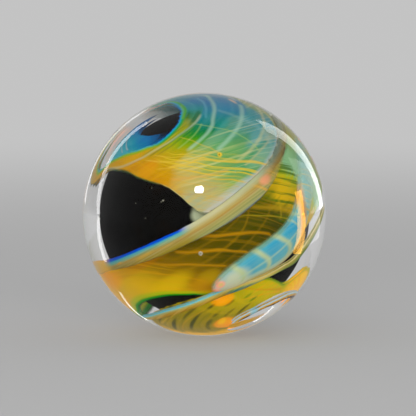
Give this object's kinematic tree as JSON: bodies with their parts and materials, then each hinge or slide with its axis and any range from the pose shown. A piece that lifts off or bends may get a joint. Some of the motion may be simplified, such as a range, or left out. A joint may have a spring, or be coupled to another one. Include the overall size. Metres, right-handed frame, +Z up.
{
  "type": "glass marble",
  "caption": "Round clear glass marble, 38 mm across, cased over a dark core, with amber, olive, teal and blue swirl veils and rolled folds wound round a leaning axis between core and casing.",
  "frame": {"origin": "centre of the ball", "axes": "+Z up, -Y towards the viewer of the picture, +X to the viewer's right"},
  "size_m": [0.038, 0.038, 0.038],
  "materials": {
    "clear_glass": "polished",
    "dark_glass": "polished",
    "blue_glass": "polished",
    "olive_glass": "polished",
    "teal_glass": "polished",
    "cream_glass": "polished"
  },
  "bodies": {
    "root": {"casing": "clear_glass", "dark_core": "dark_glass", "blue_pool": "blue_glass", "olive_veil": "olive_glass", "upper_veil": "teal_glass", "foot_veil": "olive_glass", "main_fold": "cream_glass", "lower_fold": "cream_glass", "foot_fold": "cream_glass", "blue_finger": "blue_glass"}
  },
  "joints": []
}
